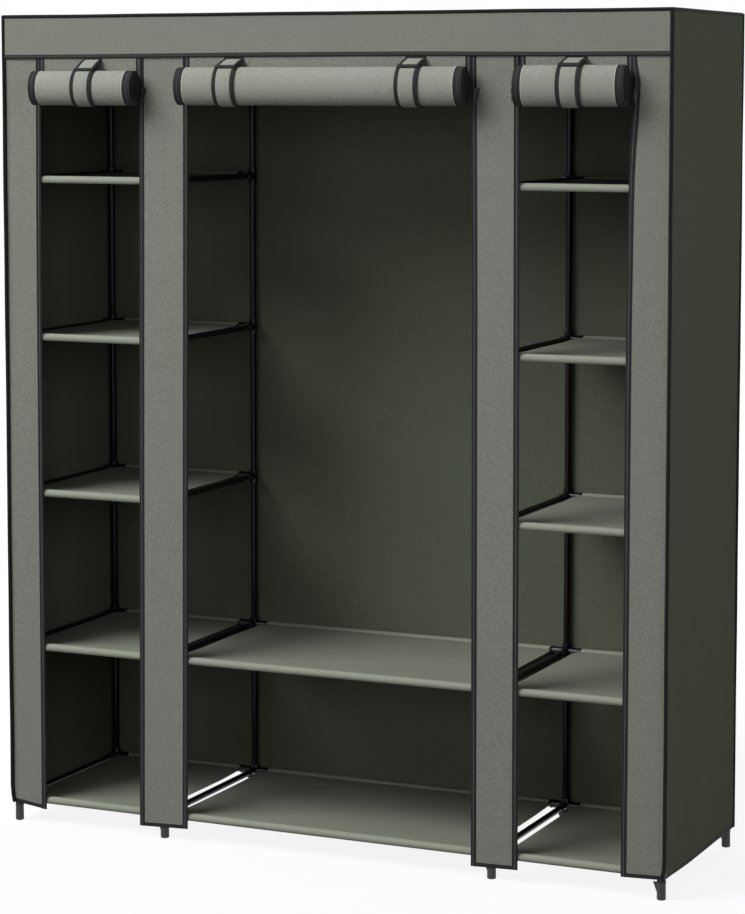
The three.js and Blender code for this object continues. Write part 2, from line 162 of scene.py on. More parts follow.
# A hem's binding: its width, thickness and rounding, and its height over the hem
HEM_BINDING = (8.5, 2.8, 1.2)
WALL_HEM_RISE = 3.6
STRIP_HEM_RISE = 3.8
# How the front corners curl in at the hem: below what height, over what height, how far, and
# between which distances in front of the cover's middle
CURL_TOP = 85.0
CURL_HEIGHT = 44.0
CURL = 5.0
CURL_DEPTHS = (60, 220)
# The height of the header band's bow at its lower edge, at places across it
BAND_WAVE_X = (-750, -560, -200, 200, 520, 750)
BAND_WAVE = (0.5, 0.5, 2.5, 3.0, 0.8, 1.0)
BAND_BOW = 0.35
BAND_BINDING = (9.0, 2.0, 0.9)
BAND_RIB = (4.2, 0.7, 0.3)
BAND_RIB_FORWARD = 1.0
# The bulge of the last strip's inner edge round the end of the right roll
BULGE_HEIGHT = 1600.0
BULGE_ABOVE = 32.0
BULGE_BELOW = 95.0
BULGE_ASIDE = 10.0
BULGE_FORWARD = 7.0
CURTAIN_COIL = 4.0
COIL_WIDTH = 2.2

# The doors: side, half of the roll's height, height of its middle, its offset from the doorway's
# middle, its lap over each strip, and the places of its straps as shares of half its width
DOORS = (
    ("left", 37.5, 1597.0, 3.0, 3.0, (0.05,)),
    ("middle", 40.5, 1601.0, -3.0, 3.0, (-0.64, 0.63)),
    ("right", 42.0, 1602.0, 3.5, 1.0, (0.01,)),
)
DOOR_LENGTH = 1600.0
ROLL_HALF_DEPTH = 27.0
ROLL_CORE = 3.0
ROLL_STEPS = 30
# The places of the lines across a roll's end
ROLL_EDGES = np.array([0, 0.7, 7.5, 9.7, 17.0, 18.5, 20.0, 25.0])
# How far the turns of a roll's end stand in, and how unevenly it is wound
ROLL_DRIFT = 2.6
ROLL_DRIFT_LENGTH = 30.0
ROLL_SHRINK = 0.018
ROLL_PLAIN_START = 34.0
CURTAIN_TOP = 1680.0
STRAP_WIDTH = 50.0
STRAP_BINDING = 9.0
STRAP_SLACK = 0.4
TAB_WIDTH = 46.0
TAB_LENGTH = 44.0
TAB_BINDING = 7.0
TAB_LIFT = 3.4
# How far the tab sags in below its hinge, and how far along it
TAB_SLACK = 1.7
TAB_SLACK_LENGTH = 15.0
# The tab's sewn root behind the header band: places behind its front and above its lower edge
TAB_ROOT = ((1.9, 8), (1.9, 3), (1.5, 0), (0.7, -2.2))

# A zip slider: the outlines of a plate and of its pull, across and up from their middles
PLATE_OUTLINE = (
    (-2.6, -7), (2.6, -7), (3.4, -5.6), (5, -0.5), (5, 5.6), (3.6, 7), (1.2, 7),
    (0, 5.4), (-1.2, 7), (-3.6, 7), (-5, 5.6), (-5, -0.5), (-3.4, -5.6),
)
PULL_OUTLINE = (
    (-1.5, 2.2), (1.5, 2.2), (1.9, -2), (2.5, -16), (2.4, -18.5), (1.5, -20.4), (-1.5, -20.4),
    (-2.4, -18.5), (-2.5, -16), (-1.9, -2),
)
PLATE_BELOW_TOP = 7.0
PLATE_STEP = 3.0
BACK_PLATE = 1.4
FRONT_PLATE = 1.5
PLATE_CROWN = 0.4
BRIDGE_FORWARD = 4.4
RING_FORWARD = 6.1
RING_RADIUS = 1.9
PULL_FORWARD = 6.3
PULL_THICK = 0.8

# The lamps: name, place, target, size and watts; and the world's plain light
LAMPS = (
    ("key", (-3.5, -3.9, 5.9), (0, -0.2, 0.9), (4.5, 4.5), 632),
    ("fill", (-0.3, -6.9, 1.9), (0, 0, 1.0), (5.0, 2.6), 85),
    ("side", (5.2, -1.6, 2.2), (0.7, 0, 0.9), (2.5, 2.5), 60),
    ("rear", (-1.5, 5.5, 3.4), (0, 0, 0.9), (3.0, 3.0), 240),
)
WORLD_LIGHT = 0.09
WHITE = (1, 1, 1, 1)
# The floor: half its side, its own grey, and how its seen glow grows with the distance
FLOOR_REACH = 14.0
FLOOR_GREY = 0.11
FLOOR_GLOW = {"From_Min": 1.2, "From_Max": 3.2, "To_Min": 0.88, "To_Max": 1.0}

# The camera: place, turn and tilt in degrees, focal length in pixels, and shift
CAMERA_PLACE = (2456.8, -5374.3, 1600.0)
CAMERA_YAW = -24.44
CAMERA_PITCH = -5.32
CAMERA_PIXELS = 2801.0
CAMERA_SHIFT = -0.12
IMAGE_HEIGHT = 914


# ---------- Materials ----------

def new_material(name, color, roughness, **sockets):
    material = bpy.data.materials.new(name)
    material.use_nodes = True
    shader = material.node_tree.nodes["Principled BSDF"]
    shader.inputs["Base Color"].default_value = (*color, 1)
    shader.inputs["Roughness"].default_value = roughness
    for socket, value in sockets.items():
        shader.inputs[socket.replace("_", " ")].default_value = value
    return material


def graph(owner):
    """The nodes and links of a material or world."""
    return owner.node_tree.nodes, owner.node_tree.links


def add_node(nodes, kind, operation=None, **sockets):
    """A new node, with its operation and the values of its sockets."""
    node = nodes.new(f"ShaderNode{kind}")
    if operation:
        node.operation = operation
    for socket, value in sockets.items():
        node.inputs[socket.replace("_", " ")].default_value = value
    return node


def texture(material, kind, scale, **sockets):
    """The value of a texture in the object's own metres."""
    nodes, links = graph(material)
    place = add_node(nodes, "TexCoord")
    node = add_node(nodes, kind, Scale=scale, **sockets)
    links.new(place.outputs["Object"], node.inputs["Vector"])
    return node.outputs["Distance" if kind == "TexVoronoi" else "Fac"]


def blended(material, first, second, share):
    """Two values mixed in a fixed share."""
    nodes, links = graph(material)
    node = add_node(nodes, "Mix", Factor=share)
    links.new(first, node.inputs["A"])
    links.new(second, node.inputs["B"])
    return node.outputs["Result"]


def ramped(material, value, low, high, start=0.3, end=0.7):
    """A colour or a grey between two, by a value."""
    nodes, links = graph(material)
    node = add_node(nodes, "ValToRGB")
    for stop, position, color in zip(node.color_ramp.elements, (start, end), (low, high)):
        stop.position = position
        stop.color = (*color, 1)
    links.new(value, node.inputs["Fac"])
    return node.outputs["Color"]


def surface(material, color, roughness, height, strength, distance):
    """Links what varies over the surface to the shader."""
    nodes, links = graph(material)
    shader = nodes["Principled BSDF"]
    links.new(color, shader.inputs["Base Color"])
    links.new(roughness, shader.inputs["Roughness"])
    bump = add_node(nodes, "Bump", Strength=strength, Distance=distance)
    links.new(height, bump.inputs["Height"])
    links.new(bump.outputs["Normal"], shader.inputs["Normal"])
    return material


def scaled(color, factor):
    return tuple(min(1.0, part * factor) for part in color)


def grey(level):
    return (level, level, level)


def cloth(name, color, contrast, creased=0.0):
    """Non-woven cloth: short matted fibres, faint bonding points and a soft mottle."""
    material = new_material(name, color, 0.9, Specular_IOR_Level=0.08)
    fibres = texture(material, "TexNoise", 400, Detail=2.0, Roughness=0.55)
    mottle = texture(material, "TexNoise", 26, Detail=2.0)
    points = texture(material, "TexVoronoi", 520)
    tone = blended(material, fibres, mottle, 0.08)
    dark, light = scaled(color, 1 - contrast), scaled(color, 1 + contrast)
    height = blended(material, blended(material, fibres, points, 0.3), mottle, creased)
    return surface(
        material,
        color=ramped(material, tone, dark, light, 0.38, 0.62),
        roughness=ramped(material, fibres, grey(0.82), grey(0.97)),
        height=height,
        strength=0.5,
        distance=0.0003 + 0.012 * creased,
    )


def tape(name, color):
    """Woven black tape with fine ribs."""
    material = new_material(name, color, 0.75, Specular_IOR_Level=0.15)
    threads = texture(material, "TexNoise", 700, Detail=2.0, Roughness=0.7)
    weave = texture(material, "TexVoronoi", 900)
    return surface(
        material,
        color=ramped(material, threads, scaled(color, 0.6), scaled(color, 1.7)),
        roughness=ramped(material, threads, grey(0.6), grey(0.88)),
        height=weave,
        strength=0.5,
        distance=0.0004,
    )


def gloss(name, color, low, high, orange_peel, bump=0.08, **sockets):
    """Powder-coated or moulded black, with a faint unevenness in its gloss."""
    material = new_material(name, color, low, **sockets)
    peel = texture(material, "TexNoise", orange_peel, Detail=2.0)
    smudge = texture(material, "TexNoise", 14, Detail=2.0)
    return surface(
        material,
        color=ramped(material, smudge, scaled(color, 0.8), scaled(color, 1.3)),
        roughness=ramped(material, blended(material, peel, smudge, 0.5), grey(low), grey(high)),
        height=peel,
        strength=bump,
        distance=0.0002,
    )


COVER_COLOR = (0.187, 0.200, 0.171)
# Painted light: the doors' cloth is a lighter copy of the cover's cloth, standing in for the light
# that the rolls, straps and tabs catch from above.
LIT_DOOR_COLOR = (0.256, 0.272, 0.235)
# Painted shade: the walls' and roof's cloth is a darker copy of the cover's cloth, standing in for
# the shade on the sides and inside.
SHADED_PANEL_COLOR = (0.102, 0.115, 0.082)
SHELF_COLOR = (0.195, 0.211, 0.171)
TAPE_COLOR = (0.0125, 0.0125, 0.013)

cover_cloth = cloth("cover_cloth", COVER_COLOR, 0.15)
lit_door_cloth = cloth("lit_door_cloth", LIT_DOOR_COLOR, 0.15, 0.1)
shaded_panel_cloth = cloth("shaded_panel_cloth", SHADED_PANEL_COLOR, 0.14)
# Painted highlight: a much lighter copy of the door cloth, for the lit line along the cloth's fold
# beside the tape at a roll's ends.
fold_highlight_cloth = cloth("cloth_fold_highlight", scaled(LIT_DOOR_COLOR, 1.6), 0.06)
shelf_cloth = cloth("shelf_cloth", SHELF_COLOR, 0.08)
# Painted light: a lighter copy of the shelf cloth on the sleeves round the rails, standing in for
# the light their rounded fronts catch.
lit_sleeve_cloth = cloth("lit_sleeve_cloth", scaled(SHELF_COLOR, 1.3), 0.08)
# Painted shade: a darker copy of the shelf cloth along the sleeves' sewn ends, standing in for the
# shade in the crease there.
seam_shade_cloth = cloth("seam_shade_cloth", scaled(SHELF_COLOR, 0.6), 0.1)
black_tape = tape("binding_tape", TAPE_COLOR)
# Painted highlight: a lighter copy of the black tape, for the lit line along the header binding's
# raised middle and along a roll's zip line.
rib_highlight_tape = tape("binding_rib_highlight", scaled(TAPE_COLOR, 2.4))
zip_coil = gloss("zip_coil", (0.042, 0.043, 0.045), 0.5, 0.65, 900.0)
piping_cord = tape("piping_cord", (0.003, 0.003, 0.003))
tube_paint = gloss(
    "tube_paint", (0.006, 0.006, 0.007), 0.18, 0.26, 90.0, 0.01, Specular_IOR_Level=0.14
)
connector_plastic = gloss(
    "connector_plastic", (0.007, 0.007, 0.008), 0.18, 0.3, 300.0, 0.05, Specular_IOR_Level=0.25
)
foot_plastic = gloss("foot_plastic", (0.02, 0.02, 0.021), 0.45, 0.6, 400.0)
slider_paint = gloss("slider_paint", (0.015, 0.015, 0.016), 0.3, 0.45, 300.0)

# What lies between each two of a roll's lines, and of a curtain's, counted from its end.
# On a roll, the lighter tape band is a painted highlight along the zip line, and the last band
# before the plain cloth is a painted highlight along the cloth's fold.
ROLL_BANDS = (black_tape, black_tape, rib_highlight_tape, black_tape, black_tape, fold_highlight_cloth)
CURTAIN_BANDS = (black_tape, zip_coil, black_tape)


# ---------- Mesh helpers ----------

def to_frame(points):
    """Millimetres in the cover's frame into metres in the model's frame."""
    placed = np.array(points, float).reshape(-1, 3)
    placed[:, 1] += SHIFT_Y
    return placed / 1000


def points_of(x, y, z):
    """Points in a row or a grid, from places or single values of X, Y and Z."""
    return np.stack(np.broadcast_arrays(x, y, z), -1)


def add_object(name, data):
    obj = bpy.data.objects.new(name, data)
    bpy.context.scene.collection.objects.link(obj)
    return obj


def piece(name, parts, slot="cover_cloth", **how):
    """One object from several (points, faces, material) parts."""
    points, groups = [], []
    for part_points, part_faces, material in parts:
        start = len(points)
        points.extend(np.array(part_points, float).reshape(-1, 3).tolist())
        groups.append((material, [[start + i for i in face] for face in part_faces]))
    return grouped_piece(name, points, groups, slot, **how)


def grouped_piece(name, points, groups, slot="cover_cloth", body="root", replaced=(), angle=38):
    """One object from shared points whose faces come in groups by material, riding on a body."""
    faces, indices, materials = [], [], []
    for material, group in groups:
        if material not in materials:
            materials.append(material)
        faces.extend(group)
        indices.extend([materials.index(material)] * len(group))
    mesh = bpy.data.meshes.new(name)
    mesh.from_pydata(to_frame(points).tolist(), [], faces)
    for material in materials:
        mesh.materials.append(material)
    mesh.polygons.foreach_set("material_index", indices)
    mesh.polygons.foreach_set("use_smooth", [True] * len(faces))
    shape = bmesh.new()
    shape.from_mesh(mesh)
    bmesh.ops.recalc_face_normals(shape, faces=shape.faces)
    shape.to_mesh(mesh)
    shape.free()
    mesh.set_sharp_from_angle(angle=math.radians(angle))
    obj = add_object(name, mesh)
    if body:
        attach(obj, body)
    if replaced:
        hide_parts(*replaced)
    return obj


def shell(grid, thick, material):
    """A closed sheet about a grid of points, rows by columns."""
    grid = np.array(grid, float)
    rows, columns = grid.shape[:2]
    normal = np.cross(np.gradient(grid, axis=1), np.gradient(grid, axis=0))
    normal /= np.linalg.norm(normal, axis=2, keepdims=True)
    points = np.concatenate([grid + normal * thick / 2, grid - normal * thick / 2]).reshape(-1, 3)
    back = rows * columns
    faces = []
    for r in range(rows - 1):
        for c in range(columns - 1):
            i = r * columns + c
            quad = [i, i + 1, i + 1 + columns, i + columns]
            faces.append(quad)
            faces.append([back + k for k in reversed(quad)])
    rim = list(range(columns))
    rim += [r * columns + columns - 1 for r in range(1, rows)]
    rim += [(rows - 1) * columns + c for c in range(columns - 2, -1, -1)]
    rim += [r * columns for r in range(rows - 2, 0, -1)]
    for here, after in zip(rim, rim[1:] + rim[:1]):
        faces.append([here, back + here, back + after, after])
    return points, faces, material


def ring_faces(rings, sides, closed=False):
    """Quads from ring to ring of points, and a cap at each end unless they close into a loop."""
    faces = []
    for ring in range(rings if closed else rings - 1):
        here, after = ring * sides, (ring + 1) % rings * sides
        for i in range(sides):
            j = (i + 1) % sides
            faces.append([here + i, here + j, after + j, after + i])
    if not closed:
        faces.append(list(range(sides - 1, -1, -1)))
        faces.append([(rings - 1) * sides + i for i in range(sides)])
    return faces


def sweep(path, profile, normal, material, closed=False):
    """A closed profile carried along a path; profile points are (across, along the normal)."""
    path = np.array(path, float)
    normal = np.broadcast_to(np.array(normal, float), path.shape).copy()
    if closed:
        tangent = np.roll(path, -1, axis=0) - np.roll(path, 1, axis=0)
    else:
        tangent = np.gradient(path, axis=0)
    tangent /= np.linalg.norm(tangent, axis=1, keepdims=True)
    normal -= tangent * (normal * tangent).sum(1, keepdims=True)
    normal /= np.linalg.norm(normal, axis=1, keepdims=True)
    across = np.cross(tangent, normal)
    profile = np.array(profile, float)
    rings = path[:, None] + across[:, None] * profile[:, :1] + normal[:, None] * profile[:, 1:]
    return rings.reshape(-1, 3), ring_faces(len(path), len(profile), closed), material


def circle(radius, sides=12):
    return [
        (radius * math.cos(2 * math.pi * i / sides), radius * math.sin(2 * math.pi * i / sides))
        for i in range(sides)
    ]


def rounded(width, thick, corner):
    """A rounded rectangle as a profile."""
    points = []
    for sx, sy, start in ((1, 1, 0), (-1, 1, 90), (-1, -1, 180), (1, -1, 270)):
        for turn in (0, 30, 60, 90):
            a = math.radians(start + turn)
            points.append((
                sx * (width / 2 - corner) + corner * math.cos(a),
                sy * (thick / 2 - corner) + corner * math.sin(a),
            ))
    return points


def lathe(profile, start, axis, material, sides=24):
    """A solid of revolution: (distance along the axis, radius) from a start point."""
    axis = np.array(axis, float)
    helper = np.array([0, 0, 1.0]) if abs(axis[2]) < 0.5 else np.array([1.0, 0, 0])
    first = np.cross(axis, helper)
    first /= np.linalg.norm(first)
    second = np.cross(axis, first)
    points = []
    for along, radius in profile:
        for i in range(sides):
            a = 2 * math.pi * i / sides
            spoke = first * math.cos(a) + second * math.sin(a)
            points.append(np.array(start) + axis * along + spoke * radius)
    return points, ring_faces(len(profile), sides), material


def prism(outline, offset, material):
    """A flat plate: an outline of points, and its copy moved by an offset."""
    outline = np.array(outline, float)
    count = len(outline)
    points = np.concatenate([outline, outline + np.array(offset, float)])
    faces = [list(range(count - 1, -1, -1)), [count + i for i in range(count)]]
    for i in range(count):
        j = (i + 1) % count
        faces.append([i, j, count + j, count + i])
    return points, faces, material


def ripple(a, b, seed):
    """A smooth wavy value between about -1 and 1."""
    draw = np.random.default_rng(seed)
    total = 0.0
    for _ in range(5):
        ka, kb = draw.uniform(0.5, 2.2, 2) * draw.choice([-1, 1], 2)
        total = total + np.sin(ka * a + kb * b + draw.uniform(0, 2 * math.pi))
    return total / 5 * 1.6


def eased(value, start, end):
    """0 before start, 1 after end, and smooth between."""
    t = np.clip((value - start) / (end - start), 0, 1)
    return t * t * (3 - 2 * t)


# ---------- Frame: tubes, connectors and feet ----------

def bays_of(level):
    """The bays that a level's rails cross, as pairs of post numbers."""
    return ((0, 1), (1, 2), (2, 3)) if level in (0, 1, LEVELS - 1) else ((0, 1), (2, 3))


def tube(start, end):
    start, end = np.array(start, float), np.array(end, float)
    length = np.linalg.norm(end - start)
    profile = [
        (0, TUBE_END_RADIUS), (TUBE_CHAMFER, TUBE_RADIUS),
        (length - TUBE_CHAMFER, TUBE_RADIUS), (length, TUBE_END_RADIUS),
    ]
    return lathe(profile, start, (end - start) / length, tube_paint)


def socket(centre, axis, reach=SOCKET_LENGTH):
    """One arm of a connector: a sleeve with a lip at its mouth."""
    lip = SOCKET_RADIUS + 0.5
    profile = [
        (0, SOCKET_RADIUS), (reach - 4.4, SOCKET_RADIUS - 0.5), (reach - 3.6, lip - 0.3),
        (reach - 3.0, lip), (reach - 0.7, lip), (reach, lip - 0.7),
    ]
    return lathe(profile, centre, axis, connector_plastic, 20)


def ball(centre, radius):
    angles = [math.pi * i / 10 for i in range(1, 10)]
    profile = [(-radius * math.cos(a), radius * math.sin(a)) for a in angles]
    return lathe(profile, centre, (0, 0, 1), connector_plastic, 20)


def gusset(centre, along, up, size):
    """A web between two arms of a connector."""
    centre, along, up = (np.array(v, float) for v in (centre, along, up))
    long, tall = size
    side = np.cross(along, up)
    origin = centre - side * WEB_THICK / 2
    hollow = origin + along * long * 0.55 + up * tall * 0.3
    web = [origin, origin + along * long, hollow, origin + up * tall]
    return prism(web, side * WEB_THICK, connector_plastic)


def connector(x, y, z, ways, level):
    """A connector at a post, with arms inwards and to each side where a rail starts."""
    inwards = -math.copysign(1, y)
    centre = (x, y, z)
    tall = HUB_REACH + (SOCKET_RADIUS - 0.4 if level == LEVELS - 1 else HUB_REACH)
    collar = [(along, SOCKET_RADIUS + more) for along, more in COLLAR_LOW]
    collar += [(tall - along, SOCKET_RADIUS + more) for along, more in COLLAR_HIGH]
    parts = [
        ball(centre, SOCKET_RADIUS + 0.4),
        lathe(collar, (x, y, z - HUB_REACH), (0, 0, 1), connector_plastic, 20),
        socket(centre, (0, inwards, 0)),
        gusset(centre, (0, inwards, 0), (0, 0, -1), SIDE_WEB),
    ]
    for way in ways:
        parts.append(socket(centre, (way, 0, 0)))
        parts.append(gusset(centre, (way, 0, 0), (0, 0, -1), SIDE_WEB))
        parts.append(gusset(centre, (way, 0, 0), (0, inwards, 0), CORNER_WEB))
    return parts


def build_level(level):
    """The rails, side tubes and connectors of one level."""
    z = LOWEST_LEVEL + LEVEL_STEP * level
    bays = bays_of(level)
    tubes, connectors = [], []
    for first, last in bays:
        start, end = POST_XS[first] + TUBE_INSET, POST_XS[last] - TUBE_INSET
        for y in (-POST_Y, POST_Y):
            tubes.append(tube((start, y, z), (end, y, z)))
    for i, x in enumerate(POST_XS):
        tubes.append(tube((x, -POST_Y + TUBE_INSET, z), (x, POST_Y - TUBE_INSET, z)))
        ways = [-1 for bay in bays if bay[1] == i] + [1 for bay in bays if bay[0] == i]
        for y in (-POST_Y, POST_Y):
            connectors.extend(connector(x, y, z, ways, level))
    name = f"level_{level + 1}"
    whole = len(bays) == len(POST_XS) - 1
    replaced = [f"{name}_frame"] if whole else [f"{name}_left_frame", f"{name}_right_frame"]
    piece(f"{name}_tubes", tubes, "tube", replaced=replaced)
    piece(f"{name}_connectors", connectors, "tube")


def build_post(i, side, y):
    """A post with its foot, and a web between the foot's arms."""
    x = POST_XS[i]
    parts = [tube((x, y, 30), (x, y, FRAME_TOP - 0.5))]
    foot = [(along, FOOT_RADIUS + more) for along, more in FOOT_SHAPE]
    parts.append(lathe(foot, (x, y, 0), (0, 0, 1), foot_plastic, 28))
    if i > 0:
        web = [(x + aside, y - FOOT_WEB_THICK / 2, z) for aside, z in FOOT_WEB]
        parts.append(prism(web, (0, FOOT_WEB_THICK, 0), foot_plastic))
    name = f"post_{side}_{POST_NAMES[i]}"
    piece(f"tube_{name}", parts, "tube", replaced=[name])


def build_frame():
    for level in range(LEVELS):
        build_level(level)
    for i in range(len(POST_XS)):
        build_post(i, "front", -POST_Y)
        build_post(i, "back", POST_Y)
    top = LOWEST_LEVEL + LEVEL_STEP * (LEVELS - 1)
    rod = [tube((-INNER_POST_X + TUBE_INSET, 0, top), (INNER_POST_X - TUBE_INSET, 0, top))]
    clip = [
        (0, SOCKET_RADIUS - 0.8), (0.8, SOCKET_RADIUS),
        (ROD_CLIP_LENGTH - 0.8, SOCKET_RADIUS), (ROD_CLIP_LENGTH, SOCKET_RADIUS - 0.8),
    ]
    for sign in (-1, 1):
        x = sign * INNER_POST_X
        rod.append(socket((x, 0, top), (-sign, 0, 0), ROD_SOCKET))
        rod.append(lathe(clip, (x, -ROD_CLIP_LENGTH / 2, top), (0, 1, 0), connector_plastic))
    piece("rod_with_clips", rod, "tube", replaced=["hanging_rod"])


# ---------- Shelves ----------

def build_shelves():
    side_middle = (OUTER_POST_X + INNER_POST_X) / 2
    side_bay = OUTER_POST_X - INNER_POST_X
    for level in range(LEVELS - 1):
        z = LOWEST_LEVEL + LEVEL_STEP * level
        bays = [("left", -side_middle, side_bay), ("right", side_middle, side_bay)]
        if level < 2:
            bays.append(("middle", 0.0, 2 * INNER_POST_X))
        for number, (side, middle, bay) in enumerate(bays):
            name = f"shelf_{side}_{level + 1}"
            build_shelf(name, middle, bay, z, 31 + level * 5 + number)


def build_shelf(name, middle, bay, z, seed):
    """A sheet between two rails, wrapped round each in a sewn sleeve."""
    half = bay / 2
    wide, narrow = half - SHELF_WIDE_INSET, half - SHELF_NARROW_INSET
    outer = np.sign(middle)
    angles = np.radians(np.linspace(-50, 90, 15))
    front = [(-POST_Y - SLEEVE_RADIUS * math.cos(a), SLEEVE_RADIUS * math.sin(a)) for a in angles]
    front += [(-POST_Y + back, height) for back, height in SLEEVE_SEAM]
    plain = POST_Y - SHELF_PLAIN_START
    flat = [(y, SHELF_RISE) for y in np.linspace(-plain, plain, 22)]
    path = front + flat + [(-y, t) for y, t in reversed(front)]
    columns = np.concatenate([[-1, -0.985], np.linspace(-0.95, 0.95, 25), [0.985, 1]])
    y, height = np.array(path).T[:, :, None]
    reach = POST_Y - SOCKET_RADIUS
    share = eased(-abs(y), -reach, SHELF_WIDENING - reach)
    x = columns * (narrow + (wide - narrow) * share)
    x = x + outer * share * SHELF_OUTER_REACH * np.clip(outer * columns, 0, 1) ** 4
    free = eased(-abs(y), SHELF_FREE_START - POST_Y, SHELF_FREE_END - POST_Y)
    sag = free * (SHELF_SAG * (1 - (x / half) ** 2) + SHELF_WAVE * ripple(x / 70, y / 70, seed))
    edge_drop = free * SHELF_EDGE_DROP * columns ** 8
    grid = points_of(middle + x, y, z + height - sag - edge_drop)
    points, faces, _ = shell(grid, SHELF_CLOTH, shelf_cloth)
    width, size = len(columns), grid.shape[0] * grid.shape[1]
    sleeve_row = len(front) - 3
    shaded_seam_rows = {sleeve_row, len(path) - 2 - sleeve_row}
    # The seams' faces get painted shade, the sleeves painted light, and the rest the plain shelf
    # cloth.
    groups = {shelf_cloth: [], lit_sleeve_cloth: [], seam_shade_cloth: []}
    for face in faces:
        row = min(v % size // width for v in face)
        if row in shaded_seam_rows and len({v >= size for v in face}) == 1:
            groups[seam_shade_cloth].append(face)
        elif row < sleeve_row or row > len(path) - 2 - sleeve_row:
            groups[lit_sleeve_cloth].append(face)
        else:
            groups[shelf_cloth].append(face)
    obj = grouped_piece(f"{name}_cloth", points, groups.items(), "shelf_cloth", replaced=[name])


# ---------- Cover ----------

def edge_x(places, z):
    """The place of a leaning edge, with a soft bend."""
    top, bend, hem = places
    knots, shifts = [0, BEND_HEIGHT, HEIGHT], (-120, -60, 0, 60, 120)
    return sum(np.interp(z + shift, knots, [hem, bend, top]) for shift in shifts) / len(shifts)


def strip_y(number, x, z):
    """How far forward or back a strip hangs, from soft waves that fade at its sewn top."""
    free = 1 - eased(z, *STRIP_SEWN)
    wave = ripple(x / 120, z / 330, 71 + number)
    return FRONT + STRIP_INSET + STRIP_BOW * free * (0.7 + wave)


def hem_curl(z):
    """How far a front corner of the cover curls in at a height."""
    return np.clip((CURL_TOP - z) / CURL_HEIGHT, 0, 1) ** 2 * CURL


def corner_path(x, y, sign):
    """A vertical corner of the cover, curled in a little at its hem."""
    z = np.linspace(HEM + 1, HEIGHT - 1, 90)
    wave = 0.35 * ripple(z / 90, 0, 12 + sign)
    return points_of(x - sign * hem_curl(z) + wave, y, z)


def panel(name, grid, material, node):
    """A sheet of the cover about a grid of points."""
    return piece(f"{name}_cloth", [shell(grid, CLOTH, material)], replaced=[node])


def build_roof():
    x, y = np.meshgrid(np.linspace(-HALF, HALF, 61), np.linspace(HEADER_FRONT, BACK, 25))
    droop = ROOF_DROOP * (1 - (2 * y / DEPTH) ** 2) * (0.6 + 0.4 * np.cos(np.pi * x / 375))
    droop = droop * (np.abs(y) < POST_Y + 1)
    grid = points_of(x, y, HEIGHT - HALF_CLOTH - np.clip(droop, 0, 2))
    roof = panel("roof", grid, shaded_panel_cloth, "cover_top")


def build_walls():
    """The back and side walls; returns the bindings of their hems."""
    hems = []
    zs = np.linspace(HEM, FRAME_TOP, 91)
    x, z = np.meshgrid(np.linspace(-HALF + 1.5, HALF - 1.5, 101), zs)
    grid = points_of(x, BACK - HALF_CLOTH + BACK_BOW * ripple(x / 140, z / 420, 5), z)
    wall = panel("back", grid, shaded_panel_cloth, "cover_back")
    for side, sign in (("left", -1), ("right", 1)):
        y, z = np.meshgrid(np.linspace(FRONT, BACK, 41), zs)
        bow = SIDE_BOW * ripple(y / 110, z / 420, 7 + sign)
        curl = hem_curl(z) * eased(-y, *CURL_DEPTHS)
        grid = points_of(sign * (HALF - HALF_CLOTH) + bow - sign * curl, y, z)
        wall = panel(f"{side}_side", grid, shaded_panel_cloth, f"cover_{side}_side")
        y = np.linspace(FRONT, BACK, 60)
        x = sign * (HALF - HALF_CLOTH - CURL * eased(-y, *CURL_DEPTHS))
        hem = points_of(x, y, HEM + WALL_HEM_RISE)
        hems.append(sweep(hem, rounded(*HEM_BINDING), (sign, 0, 0), black_tape))
    hem = points_of(np.linspace(-HALF, HALF, 120), BACK - HALF_CLOTH, HEM + WALL_HEM_RISE)
    hems.append(sweep(hem, rounded(*HEM_BINDING), (0, 1, 0), black_tape))
    return hems


def corner_piping():
    """Piping down the cover's four corners, and over the header band's ends."""
    parts = []
    for sign in (-1, 1):
        front_corner = corner_path(sign * (HALF - 2.2), FRONT - 1.2, sign)
        back_corner = corner_path(sign * (HALF - 0.8), BACK - 0.8, 0)
        parts.append(sweep(front_corner, circle(PIPING), (0, -1, 0), piping_cord))
        parts.append(sweep(back_corner, circle(PIPING), (0, 1, 0), piping_cord))
        rise = np.linspace(HEADER_BOTTOM + 3, HEIGHT - 2, 16)
        header_end = points_of(sign * (HALF - 2.6), HEADER_FRONT + 0.2, rise)
        parts.append(sweep(header_end, rounded(7.6, 3.0, 1.3), (0, -1, 0), piping_cord))
    return parts


def roof_piping():
    """Piping round the roof, from its front left corner, as shares of its width and depth."""
    path = []
    corners = ((-1, 0), (1, 0), (1, 1), (-1, 1), (-1, 0))
    for (x0, y0), (x1, y1) in zip(corners, corners[1:]):
        for t in np.linspace(0, 1, 60, endpoint=False):
            x = (x0 + (x1 - x0) * t) * (HALF - 1.0)
            deep = y0 + (y1 - y0) * t
            y = (HEADER_FRONT + 1.0) * (1 - deep) + (BACK - 1.0) * deep
            path.append((x, y, HEIGHT - 2.4 + 0.4 * ripple(x / 80, y / 80, 3)))
    return sweep(path, circle(ROOF_PIPING), (0, 0, 1), piping_cord, closed=True)


